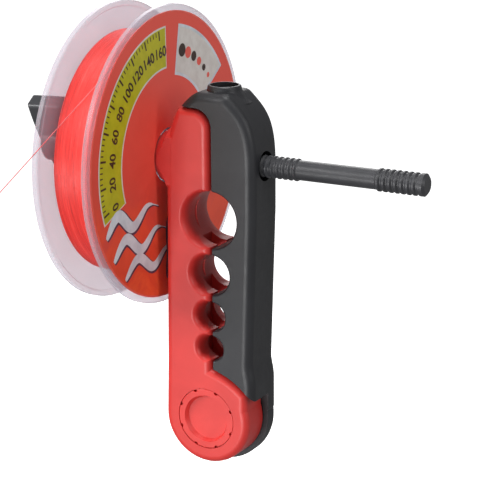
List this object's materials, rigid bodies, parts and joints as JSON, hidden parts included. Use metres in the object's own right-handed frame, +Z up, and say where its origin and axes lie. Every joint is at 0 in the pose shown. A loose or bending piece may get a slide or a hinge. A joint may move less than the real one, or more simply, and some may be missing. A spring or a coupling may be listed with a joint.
{
  "type": "fishing line winder",
  "caption": "Hand-held fishing line winder: hinged two-jaw rod clamp carrying a line spool on a cross-handled spindle.",
  "frame": {"origin": "axis of the smallest rod clamp hole, halfway through the clamp's thickness", "axes": "+Z up along the clamp, away from the hinge; +Y along the rod hole, away from the viewer; +X along the spindle, towards its free end"},
  "size_m": [0.1395, 0.144, 0.1517],
  "materials": {
    "black_plastic": "satin moulded",
    "red_plastic": "satin moulded",
    "clear_plastic": "polished clear",
    "line": "glossy thread",
    "label": "printed gloss",
    "steel": "zinc plated",
    "bush_plastic": "turned acetal"
  },
  "bodies": {
    "clamp": {"clamp_body": "black_plastic", "pivot_screw": "steel", "pivot_nut": "steel", "pivot_sleeve": "steel", "pivot_thrust_washer": "bush_plastic"},
    "jaw": {"swing_jaw": "red_plastic", "pivot_cap": "red_plastic", "pivot_head_washer": "steel", "spindle_bush": "bush_plastic", "line_tail": "line", "line_end_knot": "line"},
    "cone": {"spool_rear_cone": "black_plastic"},
    "spindle": {"cross_handle_spindle": "black_plastic"},
    "spool": {"spool_front_half": "clear_plastic", "spool_rear_half": "clear_plastic", "line_winding": "line", "spool_label": "label"}
  },
  "joints": [
    {"name": "jaw_hinge", "type": "hinge", "parent": "clamp", "child": "jaw", "pos_m": [-0.0024, 0, -0.0246], "axis": [0, -1, 0], "range_deg": [0, 3]},
    {"name": "cone_slide", "type": "slide", "parent": "jaw", "child": "cone", "axis": [-1, 0, 0], "range_m": [0, 0.004]},
    {"name": "spindle_turn", "type": "hinge", "parent": "cone", "child": "spindle", "pos_m": [-0.05, 0, 0.0609], "axis": [-1, 0, 0], "range_deg": [0, 721]},
    {"name": "spool_spin", "type": "hinge", "parent": "jaw", "child": "spool", "pos_m": [-0.0304, 0, 0.0609], "axis": [1, 0, 0], "continuous": true}
  ],
  "couplings": [
    {"joint": "spindle_turn", "follows": "cone_slide", "rad_per_m": 3141.6}
  ]
}
